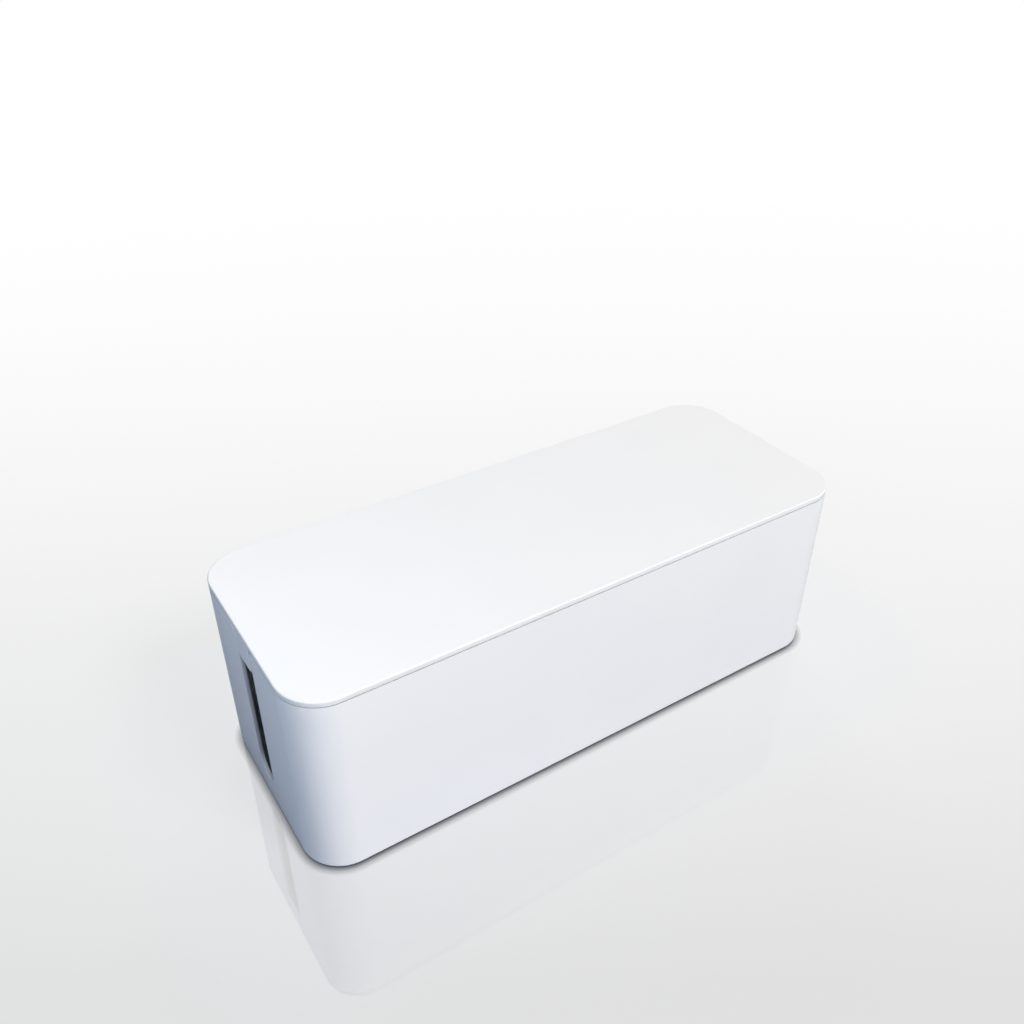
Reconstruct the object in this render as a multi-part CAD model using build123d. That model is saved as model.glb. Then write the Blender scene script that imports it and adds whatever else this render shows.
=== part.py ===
"""Cable management box: a moulded tub with a cable slot in each end, a lift-off lid and rubber feet.

The frame is in millimetres. +X runs along the length, +Y from front to rear, +Z up, and the origin
is on the desk under the middle of the box. The lid is drawn closed, resting on the tub's rim.
"""

from build123d import *

import os
from math import radians, tan

# Outline shared by the tub's rim and the lid's plate
LENGTH = 406.0
DEPTH = 156.0
CORNER_RADIUS = 27.5

# Tub
TUB_HEIGHT = 132.0
WALL = 2.8
FLOOR = 3.0
DRAFT_ANGLE = 0.25
BASE_EDGE_RADIUS = 1.6
FLOOR_FILLET = 6.0
RIM_EDGE_BREAK = 0.4

# Cable slot in each end of the tub, open at the rim and round at its foot
SLOT_MOUTH_WIDTH = 24.0
SLOT_FOOT_WIDTH = 22.0
SLOT_SILL = 17.0
SLOT_LIP_RADIUS = 6.0

# Lid: a flat plate that overhangs a hollow skirt
PLATE_EDGE = 4.0
PLATE_SKIN = 2.8
PLATE_TOP_RADIUS = 0.9
PLATE_UNDER_BREAK = 0.35
SKIRT_DROP = 20.4
SKIRT_WALL = 2.4
SKIRT_CLEARANCE = 0.8
SKIRT_ROOT_CHAMFER = 1.0
SKIRT_TIP_BREAK = 0.4

# Hollow tab at each end of the lid, which closes the mouth of the cable slot
TAB_DROP = 19.2
TAB_SIDE_CLEARANCE = 1.2
TAB_CORNER_RADIUS = 3.0
TAB_EDGE_BREAK = 0.4

# Stiffening ribs under the plate
RIB_THICKNESS = 1.6
RIB_HEIGHT = 3.4
RIB_PITCH = 58.0
RIB_DRAFT_ANGLE = 1.0

# Catches: low bumps on the lid's skirt that lie over shallow pockets inside the tub's ends. A window
# through the skirt, as high as the bump, frees the bump's upper edge.
CATCH_LENGTH = 20.6
CATCH_HEIGHT = 4.0
CATCH_BEVEL = 1.3
CATCH_DROP = 13.8
CATCH_FROM_SLOT = 7.2
CATCH_RUNNING_CLEARANCE = 0.15
POCKET_MARGIN = 0.3
POCKET_SINK = 1.8

# Rubber feet, seated in round recesses in the underside
FOOT_DIAMETER = 16.0
FOOT_STAND = 1.0
FOOT_RECESS = 1.0
FOOT_SIDE_CLEARANCE = 0.15
FOOT_EDGE_BREAK = 0.4
FOOT_FROM_SIDES = 30.0

# How far cutting tools run past the surfaces that they cut, and how close counts as being at a place
OVERRUN = 1.0
NEAR = 0.001

# Heights that follow from the sizes above
UNDERSIDE_Z = FOOT_STAND
FLOOR_Z = UNDERSIDE_Z + FLOOR
RIM_Z = UNDERSIDE_Z + TUB_HEIGHT
TOP_Z = RIM_Z + PLATE_EDGE
SKIN_Z = TOP_Z - PLATE_SKIN
SKIRT_TIP_Z = RIM_Z - SKIRT_DROP
CATCH_Z = RIM_Z - CATCH_DROP

# Plan sizes that follow from the sizes above
DRAFT = tan(radians(DRAFT_ANGLE))
SKIRT_INSET = WALL + SKIRT_CLEARANCE
HOLLOW_INSET = SKIRT_INSET + SKIRT_WALL
TAB_WIDTH = SLOT_MOUTH_WIDTH - 2 * TAB_SIDE_CLEARANCE
CATCH_Y = SLOT_MOUTH_WIDTH / 2 + CATCH_FROM_SLOT + CATCH_LENGTH / 2

STANDING = (Align.CENTER, Align.CENTER, Align.MIN)


def lean(z):
    """How far the tub's sides stand in from the rim's outline at height z."""
    return DRAFT * (RIM_Z - z)


def outline(z, inset):
    """The box's plan outline at height z, drawn in by an inset."""
    rounded = RectangleRounded(LENGTH - 2 * inset, DEPTH - 2 * inset, CORNER_RADIUS - inset)
    return Plane.XY.offset(z) * rounded


def tapered_block(low_z, low_inset, high_z, high_inset):
    """A block between two heights whose sides lean as moulded walls do."""
    return loft([outline(low_z, low_inset), outline(high_z, high_inset)], ruled=True)


def at_place(shapes, axis, place):
    """Those shapes whose middle is at a place along an axis."""
    return shapes.filter_by_position(axis, place - NEAR, place + NEAR)


def edges_at(form, z):
    """The edges of a form that lie flat at height z."""
    return at_place(form.edges(), Axis.Z, z)


def both_ends(forms):
    """Forms made for the right end, with their mirror images for the left end."""
    return [*forms, *(mirror(form, about=Plane.YZ) for form in forms)]


def front_and_rear(forms):
    """Forms made for the rear half, with their mirror images for the front half."""
    return [*forms, *(mirror(form, about=Plane.XZ) for form in forms)]


def slot_profile():
    """A cable slot seen from the end, with the rounded lips of its mouth at the rim."""
    foot_radius = SLOT_FOOT_WIDTH / 2
    half_mouth = SLOT_MOUTH_WIDTH / 2
    foot = Pos(0, UNDERSIDE_Z + SLOT_SILL + foot_radius) * Circle(foot_radius)
    mouth = Line((-half_mouth, RIM_Z), (half_mouth, RIM_Z))
    channel = make_hull([*foot.edges(), mouth])
    above_rim = Rectangle(SLOT_MOUTH_WIDTH + 4 * SLOT_LIP_RADIUS, 2 * SLOT_LIP_RADIUS)
    profile = channel + Pos(0, RIM_Z + SLOT_LIP_RADIUS) * above_rim
    at_rim = at_place(profile.vertices(), Axis.Y, RIM_Z)
    lips = at_rim.filter_by_position(Axis.X, -half_mouth - NEAR, half_mouth + NEAR)
    return fillet(lips, SLOT_LIP_RADIUS)


def slot_cutter():
    """Cutter for the right-hand cable slot."""
    reach = WALL + lean(UNDERSIDE_Z) + 2 * OVERRUN
    return extrude(Plane.YZ.offset(LENGTH / 2 + OVERRUN) * slot_profile(), amount=-reach)


def is_slot_face(face):
    """Whether a face of the tub was cut by a cable slot, and so runs straight through the wall."""
    middle = face.center()
    runs_through = abs(face.normal_at(middle).X) < DRAFT / 2
    in_end_wall = abs(middle.X) > LENGTH / 2 - WALL - lean(UNDERSIDE_Z)
    beside_slot = abs(middle.Y) < SLOT_MOUTH_WIDTH / 2 + SLOT_LIP_RADIUS
    return runs_through and in_end_wall and beside_slot and middle.Z > FLOOR_Z


def wall_end_edges(tub):
    """The two edges that run round each wall's end: along the rim and down round the cable slots."""
    rim_faces = at_place(tub.faces(), Axis.Z, RIM_Z)
    edges = (rim_faces + tub.faces().filter_by(is_slot_face)).edges()
    return [edge for edge in edges if sum(edge.is_same(other) for other in edges) == 1]


def ridge_between(near_x, near_face, far_x, far_face):
    """A form with flat sides between two faces seen from the end, each at its own place along X."""
    return loft([Plane.YZ.offset(near_x) * near_face, Plane.YZ.offset(far_x) * far_face], ruled=True)


def catch_pocket():
    """Cutter for one catch pocket, square-edged and closed by the outer skin of the wall."""
    wall_x = LENGTH / 2 - WALL - lean(CATCH_Z)
    mouth = SlotOverall(CATCH_LENGTH + 2 * POCKET_MARGIN, CATCH_HEIGHT + 2 * POCKET_MARGIN)
    from_inside = Plane.YZ.offset(wall_x - OVERRUN) * Pos(CATCH_Y, CATCH_Z) * mouth
    return extrude(from_inside, amount=OVERRUN + POCKET_SINK)


def foot_places():
    """Name and plan position of each foot."""
    reach_x = LENGTH / 2 - FOOT_FROM_SIDES
    reach_y = DEPTH / 2 - FOOT_FROM_SIDES
    return {
        f"foot_{depth_name}_{side_name}": (side * reach_x, rear * reach_y)
        for depth_name, rear in (("front", -1), ("rear", 1))
        for side_name, side in (("left", -1), ("right", 1))
    }


def make_box_body():
    """Thin-walled tub with its cable slots, catch pockets and recesses for the feet."""
    outer = tapered_block(UNDERSIDE_Z, lean(UNDERSIDE_Z), RIM_Z, 0)
    outer = fillet(edges_at(outer, UNDERSIDE_Z), BASE_EDGE_RADIUS)
    above_rim = RIM_Z + OVERRUN
    hollow = tapered_block(FLOOR_Z, WALL + lean(FLOOR_Z), above_rim, WALL + lean(above_rim))
    hollow = fillet(edges_at(hollow, FLOOR_Z), FLOOR_FILLET)
    tub = outer - hollow - both_ends([slot_cutter()])
    tub = chamfer(wall_end_edges(tub), RIM_EDGE_BREAK)
    recess = Cylinder(FOOT_DIAMETER / 2 + FOOT_SIDE_CLEARANCE, FOOT_RECESS + OVERRUN, align=STANDING)
    recesses = [Pos(x, y, UNDERSIDE_Z - OVERRUN) * recess for x, y in foot_places().values()]
    return tub - both_ends(front_and_rear([catch_pocket()])) - recesses


def end_tab():
    """Tab of the right-hand end, flush with the plate's edge and rounded at its lower corners."""
    root_x = LENGTH / 2 - HOLLOW_INSET
    low_z = RIM_Z - TAB_DROP
    high_z = RIM_Z + PLATE_EDGE / 2
    face = Pos(0, (low_z + high_z) / 2) * Rectangle(TAB_WIDTH, high_z - low_z)
    face = fillet(at_place(face.vertices(), Axis.Y, low_z), TAB_CORNER_RADIUS)
    tab = extrude(Plane.YZ.offset(root_x) * face, amount=LENGTH / 2 - root_x)
    outer_edges = tab.faces().sort_by(Axis.X)[-1].edges()
    top_edge = outer_edges.sort_by(Axis.Z)[-1]
    return chamfer([edge for edge in outer_edges if edge != top_edge], TAB_EDGE_BREAK)


def tab_core():
    """Cutter that hollows the right-hand tab from inside the lid, leaving a skirt's thickness of wall."""
    low_z = SKIRT_TIP_Z - OVERRUN
    inner_x = LENGTH / 2 - HOLLOW_INSET - OVERRUN
    outer_x = LENGTH / 2 - SKIRT_WALL
    core = Box(outer_x - inner_x, TAB_WIDTH - 2 * SKIRT_WALL, SKIN_Z - low_z, align=STANDING)
    return Pos((inner_x + outer_x) / 2, 0, low_z) * core


def catch_bump():
    """One catch on the right-hand end of the skirt, ending just short of the tub's inner wall."""
    skirt_x = LENGTH / 2 - SKIRT_INSET - lean(CATCH_Z)
    crest_x = LENGTH / 2 - WALL - lean(CATCH_Z) - CATCH_RUNNING_CLEARANCE
    foot = Pos(CATCH_Y, CATCH_Z) * SlotOverall(CATCH_LENGTH, CATCH_HEIGHT)
    crest = SlotOverall(CATCH_LENGTH - 2 * CATCH_BEVEL, CATCH_HEIGHT - 2 * CATCH_BEVEL)
    raised = ridge_between(skirt_x, foot, crest_x, Pos(CATCH_Y, CATCH_Z) * crest)
    return raised + extrude(Plane.YZ.offset(skirt_x) * foot, amount=-SKIRT_WALL / 2)


def catch_window():
    """Cutter for the window above one catch: the upper half of the catch's outline, through the skirt."""
    upper_half = Rectangle(CATCH_LENGTH, CATCH_HEIGHT / 2, align=(Align.CENTER, Align.MIN))
    window = Pos(CATCH_Y, CATCH_Z) * (SlotOverall(CATCH_LENGTH, CATCH_HEIGHT) & upper_half)
    return extrude(Plane.YZ.offset(LENGTH / 2) * window, amount=-HOLLOW_INSET - OVERRUN)


def rib(length, angle):
    """A rib hanging from the skin's underside, with its draft, turned about Z by an angle."""
    root = Plane.XY.offset(SKIN_Z) * Rot(0, 0, angle) * Rectangle(length, RIB_THICKNESS)
    return extrude(root, amount=-RIB_HEIGHT, taper=RIB_DRAFT_ANGLE)


def plate_ribs():
    """Ribs across the lid at even pitch, each ending inside the skirt's wall, and one that joins them."""
    pairs = int((LENGTH / 2 - CORNER_RADIUS) / RIB_PITCH)
    across = rib(DEPTH - 2 * SKIRT_INSET - SKIRT_WALL, 90)
    crossing = [Pos(step * RIB_PITCH, 0, 0) * across for step in range(-pairs, pairs + 1)]
    return [rib(2 * pairs * RIB_PITCH, 0), *crossing]


def make_lid():
    """Plate that overhangs a hollow skirt, with its ribs, end tabs and catches."""
    plate = extrude(outline(RIM_Z, 0), amount=PLATE_EDGE)
    plate = fillet(edges_at(plate, TOP_Z), PLATE_TOP_RADIUS)
    plate = chamfer(edges_at(plate, RIM_Z), PLATE_UNDER_BREAK)
    skirt = tapered_block(SKIRT_TIP_Z, SKIRT_INSET + lean(SKIRT_TIP_Z), RIM_Z, SKIRT_INSET)
    skin_inset = HOLLOW_INSET + DRAFT * (SKIN_Z - SKIRT_TIP_Z)
    hollow = tapered_block(SKIRT_TIP_Z, HOLLOW_INSET, SKIN_Z, skin_inset)
    hollow = chamfer(edges_at(hollow, SKIN_Z), SKIRT_ROOT_CHAMFER)
    shell = plate + skirt - hollow
    shell = chamfer(edges_at(shell, SKIRT_TIP_Z), SKIRT_TIP_BREAK)
    shell = shell + both_ends([end_tab()]) - both_ends([tab_core()])
    shell = shell + plate_ribs() + both_ends(front_and_rear([catch_bump()]))
    return shell - both_ends(front_and_rear([catch_window()]))


def make_foot(x, y):
    """Round rubber pad with a softened lower edge, standing on the desk."""
    pad = Cylinder(FOOT_DIAMETER / 2, FOOT_STAND + FOOT_RECESS, align=STANDING)
    pad = chamfer(edges_at(pad, 0), FOOT_EDGE_BREAK)
    return Pos(x, y, 0) * pad


def make_parts():
    """Every piece of the box, by name."""
    parts = {"box_body": make_box_body(), "lid": make_lid()}
    for name, (x, y) in foot_places().items():
        parts[name] = make_foot(x, y)
    return parts


os.makedirs("parts", exist_ok=True)
for part_name, solid in make_parts().items():
    export_step(solid, f"parts/{part_name}.step")
    print(part_name, round(solid.volume), "mm3", solid.bounding_box())
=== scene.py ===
"""Cable management box: finishes, stage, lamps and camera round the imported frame.

Lengths are in metres in the frame's own axes: +X along the box, +Y to the rear, +Z up. A name that
ends in _mm is a real size in millimetres.
"""

import logging
import math
from dataclasses import dataclass, field
from enum import Enum

import bpy
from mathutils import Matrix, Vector


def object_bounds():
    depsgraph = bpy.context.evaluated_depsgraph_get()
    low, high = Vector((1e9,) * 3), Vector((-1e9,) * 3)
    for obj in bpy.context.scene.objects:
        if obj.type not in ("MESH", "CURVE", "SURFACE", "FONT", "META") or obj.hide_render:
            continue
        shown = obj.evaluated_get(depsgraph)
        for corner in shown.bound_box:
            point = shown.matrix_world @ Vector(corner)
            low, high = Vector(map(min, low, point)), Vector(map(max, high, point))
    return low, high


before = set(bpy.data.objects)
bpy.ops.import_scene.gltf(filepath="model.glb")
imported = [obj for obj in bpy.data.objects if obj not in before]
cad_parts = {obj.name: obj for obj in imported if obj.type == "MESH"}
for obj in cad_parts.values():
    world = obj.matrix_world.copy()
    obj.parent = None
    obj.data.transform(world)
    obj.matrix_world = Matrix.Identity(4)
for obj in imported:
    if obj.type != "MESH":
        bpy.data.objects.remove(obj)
cad_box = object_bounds()

MM_PER_METRE = 1000.0

# The sRGB curve: a straight line up to its knee, then a power of the shifted value
SRGB_STEPS = 255
SRGB_KNEE = 0.04045
SRGB_SLOPE = 12.92
SRGB_SHIFT = 0.055
SRGB_POWER = 2.4

# How many rays tell how open a point is
OPENING_RAYS = 8

log = logging.getLogger("cable_box")


class Ray(Enum):
    """The kinds of ray that a stage material tells apart, by their Light Path output."""

    CAMERA = "Is Camera Ray"
    GLOSSY = "Is Glossy Ray"
    TRANSMISSION = "Is Transmission Ray"


# --------------------------------------------------------------------------------------------------
# Helpers
# --------------------------------------------------------------------------------------------------


def linear(hex_colour: str) -> tuple[float, float, float, float]:
    """Turns an sRGB colour into the linear one that Blender's sockets take.

    Args:
        hex_colour: the colour as #RRGGBB.

    Returns:
        Linear red, green, blue and an alpha of 1.
    """
    channels = [int(hex_colour[start : start + 2], 16) / SRGB_STEPS for start in (1, 3, 5)]
    red, green, blue = (
        value / SRGB_SLOPE
        if value <= SRGB_KNEE
        else ((value + SRGB_SHIFT) / (1 + SRGB_SHIFT)) ** SRGB_POWER
        for value in channels
    )
    return red, green, blue, 1.0


def per_metre(size_mm: float) -> float:
    """How often a pattern of a real size repeats in a metre."""
    return MM_PER_METRE / size_mm


def add_node(
    tree: bpy.types.NodeTree,
    kind: str,
    settings: dict[str, object] | None = None,
    inputs: dict[str | int, object] | None = None,
) -> bpy.types.Node:
    """Adds a node with its settings and links.

    Args:
        tree: the node tree that gets the node.
        kind: Blender's name for the node's type.
        settings: the node's own properties, by name.
        inputs: for an input's name or number, its value or the output that feeds it.

    Returns:
        The new node.
    """
    node = tree.nodes.new(kind)
    for name, value in (settings or {}).items():
        setattr(node, name, value)
    for key, value in (inputs or {}).items():
        if isinstance(value, bpy.types.NodeSocket):
            tree.links.new(value, node.inputs[key])
        else:
            node.inputs[key].default_value = value
    return node


def new_material(name: str) -> tuple[bpy.types.Material, bpy.types.NodeTree]:
    """Makes an empty node material.

    Args:
        name: the material's name.

    Returns:
        The material and its node tree.
    """
    material = bpy.data.materials.new(name)
    material.use_nodes = True
    material.node_tree.nodes.clear()
    return material, material.node_tree


def dress(node_name: str, material: bpy.types.Material) -> None:
    """Gives every slot of a CAD node one material.

    Args:
        node_name: the CAD node.
        material: its finish.
    """
    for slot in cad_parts[node_name].material_slots:
        slot.material = material


# --------------------------------------------------------------------------------------------------
# Finishes
# --------------------------------------------------------------------------------------------------


@dataclass(frozen=True)
class MouldedAbs:
    """White ABS, injection moulded in a steel tool with a finely spark-eroded skin.

    To the eye it is an even, cool white with a soft sheen: broad highlights without a sharp mirror
    image, a skin grain that only shows close up, and slow waves where the melt shrank unevenly.
    """

    name: str
    tone: str = "#F6F6F7"
    flow_tone: str = "#F2F2F4"
    ior: float = 1.54
    roughness: float = 0.38
    roughness_spread: float = 0.05
    # Spark-eroded grain is about 0.1 mm across: drawn coarser, or it would not show at all
    grain_mm: float = 0.6
    grain_height_mm: float = 0.01
    grain_detail: float = 2.0
    # Flow and cooling marks, as far apart as the ribs and walls that cause them
    flow_mm: float = 70.0
    flow_height_mm: float = 0.02
    flow_detail: float = 1.0
    # Rubbed patches, the size of a thumb, a little shinier or duller than the skin round them
    rub_mm: float = 18.0
    rub_detail: float = 3.0
    # Painted shade: narrow recesses are darkened by how little open sky they see; between these
    # two shares of open sky the tone goes from the recess's painted shade to its own
    recess_mm: float = 1.5
    recess_span: tuple[float, float] = (0.3, 0.85)
    recess_painted_shade: float = 0.5
    # Painted shade on the broken edges that face each other across the seam between lid and rim,
    # at this height, darker while the lid is on
    seam_height_mm: float = 133.0
    seam_half_mm: float = 0.6
    seam_reach_mm: float = 0.8
    seam_power: float = 2.5
    # A broken edge leans, and the faces that lie on each other are level
    level_from: float = 0.9

    def make(self) -> bpy.types.Material:
        """Builds the material.

        Returns:
            The node material.
        """
        material, tree = new_material(self.name)
        place = add_node(tree, "ShaderNodeTexCoord").outputs["Object"]
        flow, rub, grain = (
            add_node(
                tree,
                "ShaderNodeTexNoise",
                inputs={"Vector": place, "Scale": per_metre(size_mm), "Detail": detail},
            ).outputs["Fac"]
            for size_mm, detail in (
                (self.flow_mm, self.flow_detail),
                (self.rub_mm, self.rub_detail),
                (self.grain_mm, self.grain_detail),
            )
        )
        tone = add_node(
            tree,
            "ShaderNodeMix",
            {"data_type": "RGBA"},
            {"Factor": flow, "A": linear(self.tone), "B": linear(self.flow_tone)},
        )
        # Painted shade in narrow recesses, from how much open sky each point sees
        open_sky = add_node(
            tree,
            "ShaderNodeAmbientOcclusion",
            {"samples": OPENING_RAYS, "only_local": True},
            {"Distance": self.recess_mm / MM_PER_METRE},
        )
        closed, opened = self.recess_span
        shade = add_node(
            tree,
            "ShaderNodeMapRange",
            inputs={
                "Value": open_sky.outputs["AO"],
                "From Min": closed,
                "From Max": opened,
                "To Min": self.recess_painted_shade,
                "To Max": 1.0,
            },
        )
        shaded_tone = add_node(
            tree,
            "ShaderNodeVectorMath",
            {"operation": "SCALE"},
            {0: tone.outputs["Result"], "Scale": shade.outputs["Result"]},
        )
        # Painted shade along the seam between lid and rim, multiplied into the tone
        seam_tone = add_node(
            tree,
            "ShaderNodeVectorMath",
            {"operation": "SCALE"},
            {0: shaded_tone.outputs["Vector"], "Scale": self.seam_painted_shade(tree, place)},
        )
        roughness = add_node(
            tree,
            "ShaderNodeMapRange",
            inputs={
                "Value": rub,
                "To Min": self.roughness - self.roughness_spread,
                "To Max": self.roughness + self.roughness_spread,
            },
        )
        waves = add_node(
            tree,
            "ShaderNodeBump",
            inputs={"Height": flow, "Distance": self.flow_height_mm / MM_PER_METRE},
        )
        skin = add_node(
            tree,
            "ShaderNodeBump",
            inputs={
                "Height": grain,
                "Distance": self.grain_height_mm / MM_PER_METRE,
                "Normal": waves.outputs["Normal"],
            },
        )
        shader = add_node(
            tree,
            "ShaderNodeBsdfPrincipled",
            inputs={
                "Base Color": seam_tone.outputs["Vector"],
                "Roughness": roughness.outputs["Result"],
                "IOR": self.ior,
                "Normal": skin.outputs["Normal"],
            },
        )
        add_node(tree, "ShaderNodeOutputMaterial", inputs={"Surface": shader.outputs["BSDF"]})
        return material

    def seam_painted_shade(
        self, tree: bpy.types.NodeTree, place: bpy.types.NodeSocket
    ) -> bpy.types.NodeSocket:
        """Paints shade on the broken edges on both sides of the seam while the lid is on.

        Args:
            tree: the material's node tree.
            place: the coordinates, in metres.

        Returns:
            The share of the tone that is left, 1 away from the seam.
        """
        height = add_node(tree, "ShaderNodeSeparateXYZ", inputs={"Vector": place})
        at_seam = add_node(
            tree,
            "ShaderNodeMath",
            {"operation": "COMPARE"},
            {
                0: height.outputs["Z"],
                1: self.seam_height_mm / MM_PER_METRE,
                2: self.seam_half_mm / MM_PER_METRE,
            },
        )
        surface = add_node(tree, "ShaderNodeNewGeometry")
        facing = add_node(
            tree, "ShaderNodeSeparateXYZ", inputs={"Vector": surface.outputs["True Normal"]}
        )
        leaning = add_node(
            tree,
            "ShaderNodeMath",
            {"operation": "COMPARE"},
            {0: facing.outputs["Z"], 1: 0.0, 2: self.level_from},
        )
        on_edge = add_node(
            tree,
            "ShaderNodeMath",
            {"operation": "MULTIPLY"},
            {0: at_seam.outputs["Value"], 1: leaning.outputs["Value"]},
        )
        opening = add_node(
            tree,
            "ShaderNodeAmbientOcclusion",
            {"samples": OPENING_RAYS},
            {"Distance": self.seam_reach_mm / MM_PER_METRE},
        )
        left = add_node(
            tree,
            "ShaderNodeMath",
            {"operation": "POWER"},
            {0: opening.outputs["AO"], 1: self.seam_power},
        )
        share = add_node(
            tree,
            "ShaderNodeMix",
            inputs={"Factor": on_edge.outputs["Value"], "A": 1.0, "B": left.outputs["Value"]},
        )
        return share.outputs["Result"]


@dataclass(frozen=True)
class MouldedRubber:
    """Dark grey thermoplastic rubber, moulded.

    To the eye it is matt, with a fine open grain and almost no highlight.
    """

    name: str
    tone: str = "#35363A"
    ior: float = 1.52
    roughness: float = 0.8
    # Its grain is about 0.1 mm across too, and drawn as coarse as the ABS's
    grain_mm: float = 0.6
    grain_height_mm: float = 0.03

    def make(self) -> bpy.types.Material:
        """Builds the material.

        Returns:
            The node material.
        """
        material, tree = new_material(self.name)
        place = add_node(tree, "ShaderNodeTexCoord").outputs["Object"]
        grain = add_node(
            tree, "ShaderNodeTexNoise", inputs={"Vector": place, "Scale": per_metre(self.grain_mm)}
        )
        skin = add_node(
            tree,
            "ShaderNodeBump",
            inputs={
                "Height": grain.outputs["Fac"],
                "Distance": self.grain_height_mm / MM_PER_METRE,
            },
        )
        shader = add_node(
            tree,
            "ShaderNodeBsdfPrincipled",
            inputs={
                "Base Color": linear(self.tone),
                "Roughness": self.roughness,
                "IOR": self.ior,
                "Normal": skin.outputs["Normal"],
            },
        )
        add_node(tree, "ShaderNodeOutputMaterial", inputs={"Surface": shader.outputs["BSDF"]})
        return material


# --------------------------------------------------------------------------------------------------
# The box's own pieces
# --------------------------------------------------------------------------------------------------


@dataclass
class SmoothedMoulding:
    """A moulded CAD node whose broken edges and tangent curves shade as one skin."""

    node_name: str
    finish: MouldedAbs
    # Points this close are one point of the moulding
    join_mm: float = 0.002
    # Edges up to this angle are rounded in the real moulding, sharper ones stay crisp
    round_up_to: float = math.radians(50)

    def build(self) -> None:
        """Dresses the node and smooths its shading."""
        dress(self.node_name, self.finish.make())
        self.smooth()
        log.info("%s: %s", self.node_name, self.finish.name)

    def smooth(self) -> None:
        """Joins the node's faces at their seams and weighs each normal by the faces round it."""
        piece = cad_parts[self.node_name]
        seams = piece.modifiers.new("joined_seams", "NODES")
        seams.node_group = self.seam_nodes()
        weighted = piece.modifiers.new("weighted_normals", "WEIGHTED_NORMAL")
        weighted.keep_sharp = True
        weighted.mode = "FACE_AREA"

    def seam_nodes(self) -> bpy.types.NodeTree:
        """Builds the modifier that joins seams and marks the edges that stay crisp.

        Returns:
            The modifier's node tree.
        """
        tree = bpy.data.node_groups.new(f"{self.node_name}_seams", "GeometryNodeTree")
        for way in ("INPUT", "OUTPUT"):
            tree.interface.new_socket("Geometry", in_out=way, socket_type="NodeSocketGeometry")
        start = add_node(tree, "NodeGroupInput")
        plain = add_node(
            tree,
            "GeometryNodeRemoveAttribute",
            inputs={"Geometry": start.outputs["Geometry"], "Name": "custom_normal"},
        )
        joined = add_node(
            tree,
            "GeometryNodeMergeByDistance",
            inputs={
                "Geometry": plain.outputs["Geometry"],
                "Distance": self.join_mm / MM_PER_METRE,
            },
        )
        all_smooth = add_node(
            tree,
            "GeometryNodeSetShadeSmooth",
            {"domain": "FACE"},
            {"Geometry": joined.outputs["Geometry"], "Shade Smooth": True},
        )
        angle = add_node(tree, "GeometryNodeInputMeshEdgeAngle")
        sharp = add_node(
            tree,
            "FunctionNodeCompare",
            {"operation": "GREATER_THAN"},
            {"A": angle.outputs["Unsigned Angle"], "B": self.round_up_to},
        )
        crisp = add_node(
            tree,
            "GeometryNodeSetShadeSmooth",
            {"domain": "EDGE"},
            {
                "Geometry": all_smooth.outputs["Geometry"],
                "Selection": sharp.outputs["Result"],
                "Shade Smooth": False,
            },
        )
        add_node(tree, "NodeGroupOutput", inputs={"Geometry": crisp.outputs["Geometry"]})
        return tree


@dataclass
class Tub(SmoothedMoulding):
    """The open tub, with a cable slot and two catch pockets in each end."""

    node_name: str = "box_body"
    # The pockets for the catches look like dark slots, so the painted shade in them reaches further
    finish: MouldedAbs = MouldedAbs("moulded_abs_tub", recess_mm=4.0, recess_span=(0.5, 0.9))


@dataclass
class Lid(SmoothedMoulding):
    """The lift-off lid, with its skirt, end tabs and catches."""

    node_name: str = "lid"
    # The painted shade in the windows over the catches is paler than in the tub's pockets
    finish: MouldedAbs = MouldedAbs("moulded_abs_lid", recess_painted_shade=0.65)


@dataclass
class Feet:
    """The four rubber pads under the tub."""

    finish: MouldedRubber = MouldedRubber("moulded_rubber")
    prefix: str = "foot_"

    def build(self) -> None:
        """Dresses every foot."""
        rubber = self.finish.make()
        for name in sorted(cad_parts):
            if name.startswith(self.prefix):
                dress(name, rubber)
                log.info("%s: %s", name, self.finish.name)


# --------------------------------------------------------------------------------------------------
# Stage, lamps and camera
# --------------------------------------------------------------------------------------------------


@dataclass(frozen=True)
class Fade:
    """A value that changes smoothly between two distances from the box's outline."""

    start: float
    end: float
    near: float
    far: float = 0.0


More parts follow.
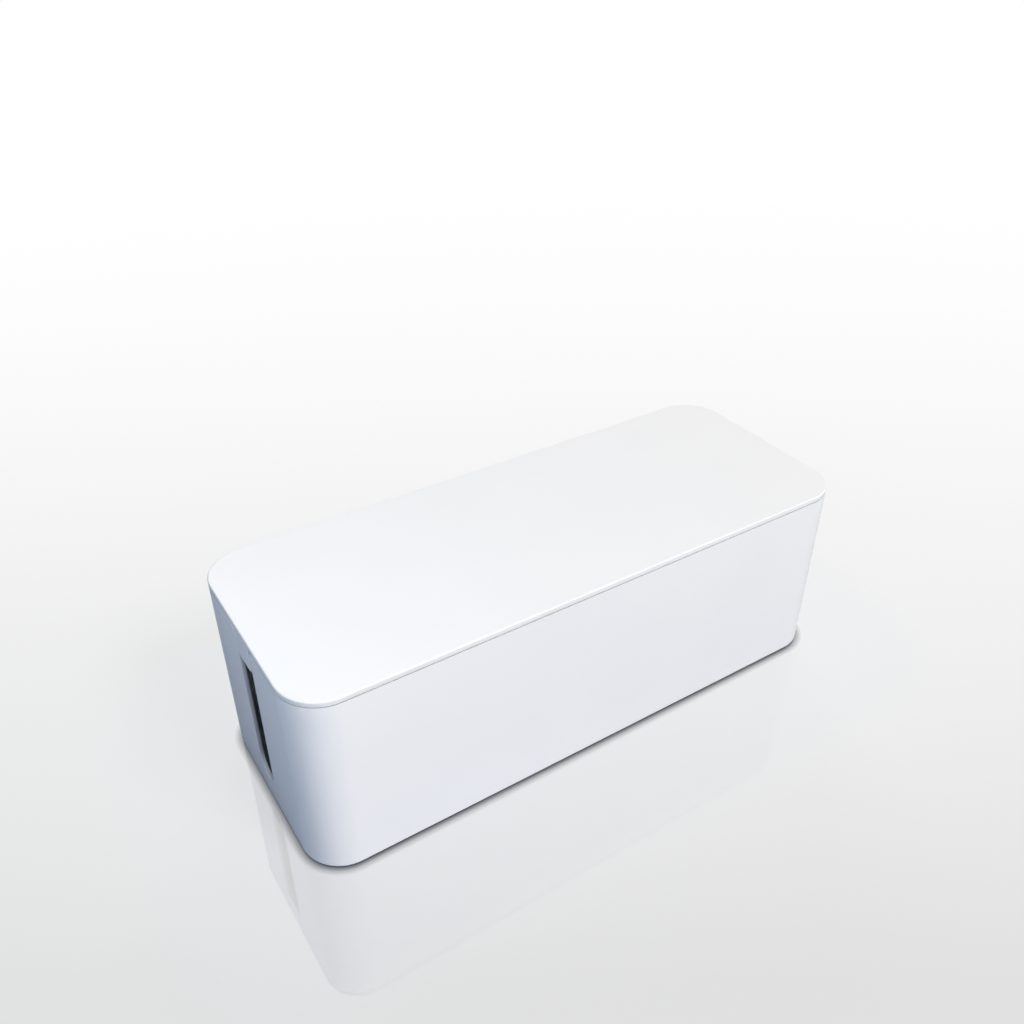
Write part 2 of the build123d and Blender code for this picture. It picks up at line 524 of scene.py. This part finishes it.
@dataclass
class Floor:
    """A plain pale floor that runs out to white.

    A share of it takes the box's real soft shadow; its grey is painted shade with a painted
    contact shadow, and it shows a faint mirror image of the box.
    """

    # Half the box's length and depth: shadow and mirror image are kept round this outline
    outline: tuple[float, float, float]
    half_width: float = 12.0
    # What the floor throws back at the box, a cool grey
    bounce_tone: str = "#8E98AA"
    # Its grey is painted shade that runs out to white along this way: it is darkest up to dark_from
    # before the box's middle, and from there its grey loses two thirds of its depth every
    # dark_reach
    pale_way: tuple[float, float, float] = (0.541, 0.841, 0.0)
    dark_from: float = 0.234
    dark_reach: float = 0.42
    # The darkest grey of that painted shade, which also gives way to white where the floor is
    # far from the box
    darkest: Fade = Fade(0.45, 1.6, near=0.751, far=1.0)
    # The share of the seen floor that takes shadow: the rest glows evenly
    shadow: Fade = Fade(0.05, 0.45, near=0.14)
    mirror: Fade = Fade(0.06, 0.10, near=0.22)
    mirror_tone: str = "#E6E9EF"
    mirror_roughness: float = 0.03
    # Painted contact shadow: the floor darkens where the box's edge almost touches it
    contact_shadow_reach: float = 0.006
    contact_shadow_power: float = 2.0

    def build(self) -> None:
        """Makes the floor."""
        mesh = bpy.data.meshes.new("floor")
        reach = self.half_width
        corners = [(-reach, -reach, 0), (reach, -reach, 0), (reach, reach, 0), (-reach, reach, 0)]
        mesh.from_pydata(corners, [], [(0, 1, 2, 3)])
        floor = bpy.data.objects.new("floor", mesh)
        bpy.context.scene.collection.objects.link(floor)
        mesh.materials.append(self.material())
        log.info("floor: %.0f m wide", 2 * reach)

    def material(self) -> bpy.types.Material:
        """Builds the floor's material.

        Returns:
            The node material.
        """
        material, tree = new_material("pale_floor")
        place = add_node(tree, "ShaderNodeTexCoord").outputs["Object"]
        from_box = self.distance_from_box(tree, place)
        darkest, shadow, mirror = (
            add_node(
                tree,
                "ShaderNodeMapRange",
                {"interpolation_type": "SMOOTHSTEP"},
                {
                    "Value": from_box,
                    "From Min": fade.start,
                    "From Max": fade.end,
                    "To Min": fade.near,
                    "To Max": fade.far,
                },
            ).outputs["Result"]
            for fade in (self.darkest, self.shadow, self.mirror)
        )
        # The floor's grey is painted shade, darkened near the box by a painted contact shadow
        tone = self.painted_contact_shadow(tree, self.tone(tree, place, darkest))
        shaded = add_node(tree, "ShaderNodeBsdfDiffuse", inputs={"Color": tone})
        glow = add_node(tree, "ShaderNodeEmission", inputs={"Color": tone})
        polish = add_node(
            tree,
            "ShaderNodeBsdfGlossy",
            inputs={"Color": linear(self.mirror_tone), "Roughness": self.mirror_roughness},
        )
        pale = add_node(
            tree,
            "ShaderNodeMixShader",
            inputs={0: shadow, 1: glow.outputs["Emission"], 2: shaded.outputs["BSDF"]},
        )
        seen = add_node(
            tree,
            "ShaderNodeMixShader",
            inputs={0: mirror, 1: pale.outputs["Shader"], 2: polish.outputs["BSDF"]},
        )
        bounce = add_node(
            tree, "ShaderNodeBsdfDiffuse", inputs={"Color": linear(self.bounce_tone)}
        )
        rays = add_node(tree, "ShaderNodeLightPath")
        surface = add_node(
            tree,
            "ShaderNodeMixShader",
            inputs={
                0: rays.outputs[Ray.CAMERA.value],
                1: bounce.outputs["BSDF"],
                2: seen.outputs["Shader"],
            },
        )
        add_node(tree, "ShaderNodeOutputMaterial", inputs={"Surface": surface.outputs["Shader"]})
        return material

    def distance_from_box(
        self, tree: bpy.types.NodeTree, place: bpy.types.NodeSocket
    ) -> bpy.types.NodeSocket:
        """Measures how far a point of the floor is outside the box's outline.

        Args:
            tree: the material's node tree.
            place: the point.

        Returns:
            The distance in metres, 0 under the box.
        """
        mirrored = add_node(tree, "ShaderNodeVectorMath", {"operation": "ABSOLUTE"}, {0: place})
        beyond = add_node(
            tree,
            "ShaderNodeVectorMath",
            {"operation": "SUBTRACT"},
            {0: mirrored.outputs["Vector"], 1: self.outline},
        )
        outside = add_node(
            tree, "ShaderNodeVectorMath", {"operation": "MAXIMUM"}, {0: beyond.outputs["Vector"]}
        )
        length = add_node(
            tree, "ShaderNodeVectorMath", {"operation": "LENGTH"}, {0: outside.outputs["Vector"]}
        )
        return length.outputs["Value"]

    def tone(
        self,
        tree: bpy.types.NodeTree,
        place: bpy.types.NodeSocket,
        darkest: bpy.types.NodeSocket,
    ) -> bpy.types.NodeSocket:
        """Works out the floor's painted shade, a grey which rises to white along one way.

        Args:
            tree: the material's node tree.
            place: the point.
            darkest: the darkest grey that the point may have.

        Returns:
            The grey, from 0 to 1.
        """
        along = add_node(
            tree, "ShaderNodeVectorMath", {"operation": "DOT_PRODUCT"}, {0: place, 1: self.pale_way}
        )
        from_darkest = add_node(
            tree,
            "ShaderNodeMath",
            {"operation": "ADD"},
            {0: along.outputs["Value"], 1: self.dark_from},
        )
        reached = add_node(
            tree,
            "ShaderNodeMath",
            {"operation": "DIVIDE"},
            {0: from_darkest.outputs["Value"], 1: -self.dark_reach},
        )
        left = add_node(
            tree, "ShaderNodeMath", {"operation": "EXPONENT"}, {0: reached.outputs["Value"]}
        )
        grey = add_node(
            tree,
            "ShaderNodeMapRange",
            inputs={"Value": left.outputs["Value"], "To Min": 1.0, "To Max": darkest},
        )
        return grey.outputs["Result"]

    def painted_contact_shadow(
        self, tree: bpy.types.NodeTree, tone: bpy.types.NodeSocket
    ) -> bpy.types.NodeSocket:
        """Paints a contact shadow: darkens the floor's grey close to where the box stands.

        Args:
            tree: the material's node tree.
            tone: the floor's grey.

        Returns:
            The darkened grey, from 0 to 1.
        """
        opening = add_node(
            tree,
            "ShaderNodeAmbientOcclusion",
            {"samples": OPENING_RAYS},
            {"Distance": self.contact_shadow_reach},
        )
        left = add_node(
            tree,
            "ShaderNodeMath",
            {"operation": "POWER"},
            {0: opening.outputs["AO"], 1: self.contact_shadow_power},
        )
        darkened = add_node(
            tree, "ShaderNodeMath", {"operation": "MULTIPLY"}, {0: tone, 1: left.outputs["Value"]}
        )
        return darkened.outputs["Value"]


@dataclass
class Backdrop:
    """A white room.

    Cameras and gloss see plain white, and surfaces get a dim cool light from it.
    """

    tone: str = "#FFFFFF"
    fill_tone: str = "#C9DAF2"
    fill_strength: float = 0.02

    def build(self) -> None:
        """Makes the world."""
        world = bpy.data.worlds.new("white_room")
        bpy.context.scene.world = world
        world.use_nodes = True
        tree = world.node_tree
        tree.nodes.clear()
        white = add_node(tree, "ShaderNodeBackground", inputs={"Color": linear(self.tone)})
        fill = add_node(
            tree,
            "ShaderNodeBackground",
            inputs={"Color": linear(self.fill_tone), "Strength": self.fill_strength},
        )
        rays = add_node(tree, "ShaderNodeLightPath")
        sees_white = rays.outputs[Ray.CAMERA.value]
        for ray in (Ray.GLOSSY, Ray.TRANSMISSION):
            either = add_node(
                tree,
                "ShaderNodeMath",
                {"operation": "MAXIMUM"},
                {0: sees_white, 1: rays.outputs[ray.value]},
            )
            sees_white = either.outputs["Value"]
        light = add_node(
            tree,
            "ShaderNodeMixShader",
            inputs={0: sees_white, 1: fill.outputs["Background"], 2: white.outputs["Background"]},
        )
        add_node(tree, "ShaderNodeOutputWorld", inputs={"Surface": light.outputs["Shader"]})
        log.info("%s: %s", world.name, self.tone)


@dataclass
class SoftBox:
    """A square studio softbox, aimed at the box."""

    name: str
    place: tuple[float, float, float]
    width: float
    watts: float
    tone: str
    aim: tuple[float, float, float] = (0.0, 0.0, 0.1)

    def build(self) -> None:
        """Makes the lamp, aimed."""
        lamp = bpy.data.lights.new(self.name, "AREA")
        lamp.shape = "SQUARE"
        lamp.size = self.width
        lamp.energy = self.watts
        lamp.color = linear(self.tone)[:3]
        lamp_object = bpy.data.objects.new(self.name, lamp)
        bpy.context.scene.collection.objects.link(lamp_object)
        # Glossy surfaces show the white room and not the lamp itself
        lamp_object.visible_glossy = False
        lamp_object.location = self.place
        away = Vector(self.aim) - Vector(self.place)
        lamp_object.rotation_mode = "QUATERNION"
        lamp_object.rotation_quaternion = away.to_track_quat("-Z", "Y")
        log.info("%s: %g W", self.name, self.watts)


@dataclass
class StudioCamera:
    """The camera, above the left end and in front of the box."""

    place: tuple[float, float, float] = (-0.3034, -0.4405, 0.5048)
    # In degrees: round from the front, negative towards the left end, and up from level
    azimuth: float = -32.754
    elevation: float = 33.941
    lens_mm: float = 34.8
    sensor_mm: float = 36.0

    def build(self) -> None:
        """Makes the scene's camera."""
        camera = bpy.data.cameras.new("camera")
        camera.lens = self.lens_mm
        camera.sensor_width = self.sensor_mm
        camera_object = bpy.data.objects.new("camera", camera)
        bpy.context.scene.collection.objects.link(camera_object)
        camera_object.location = self.place
        turn, rise = math.radians(self.azimuth), math.radians(self.elevation)
        back = Vector(
            (math.sin(turn) * math.cos(rise), -math.cos(turn) * math.cos(rise), math.sin(rise))
        )
        camera_object.rotation_mode = "QUATERNION"
        camera_object.rotation_quaternion = (-back).to_track_quat("-Z", "Y")
        bpy.context.scene.camera = camera_object
        log.info("camera: %g mm lens", self.lens_mm)


@dataclass
class Studio:
    """Everything round the box."""

    floor: Floor
    backdrop: Backdrop = field(default_factory=Backdrop)
    camera: StudioCamera = field(default_factory=StudioCamera)
    lamps: tuple[SoftBox, ...] = (
        SoftBox("key_softbox", (0.85, -2.8, 3.0), width=1.3, watts=143.0, tone="#FFFEFB"),
        SoftBox("low_softbox", (2.2, -3.3, 1.2), width=1.2, watts=40.0, tone="#FFF9F0"),
        SoftBox("top_softbox", (0.0, -0.5, 3.6), width=1.8, watts=2.0, tone="#FBFCFF"),
        SoftBox("rear_softbox", (1.6, 2.5, 1.1), width=1.3, watts=58.0, tone="#FFFEFC"),
        SoftBox(
            "side_softbox",
            (-0.6, -0.16, 0.5),
            width=0.35,
            watts=1.7,
            tone="#DCEAFC",
            aim=(-0.2, 0.0, 0.2),
        ),
    )

    def build(self) -> None:
        """Makes the stage, the lamps and the camera."""
        for part in (self.floor, self.backdrop, *self.lamps, self.camera):
            part.build()


def main() -> None:
    """Builds everything in order."""
    logging.basicConfig(level=logging.INFO, format="%(message)s")
    bpy.context.scene.view_settings.view_transform = "Standard"
    _, (half_length, half_depth, _) = cad_box
    floor = Floor(outline=(half_length, half_depth, 0.0))
    for assembly in (Tub(), Lid(), Feet(), Studio(floor)):
        assembly.build()


if __name__ == "__main__":
    main()
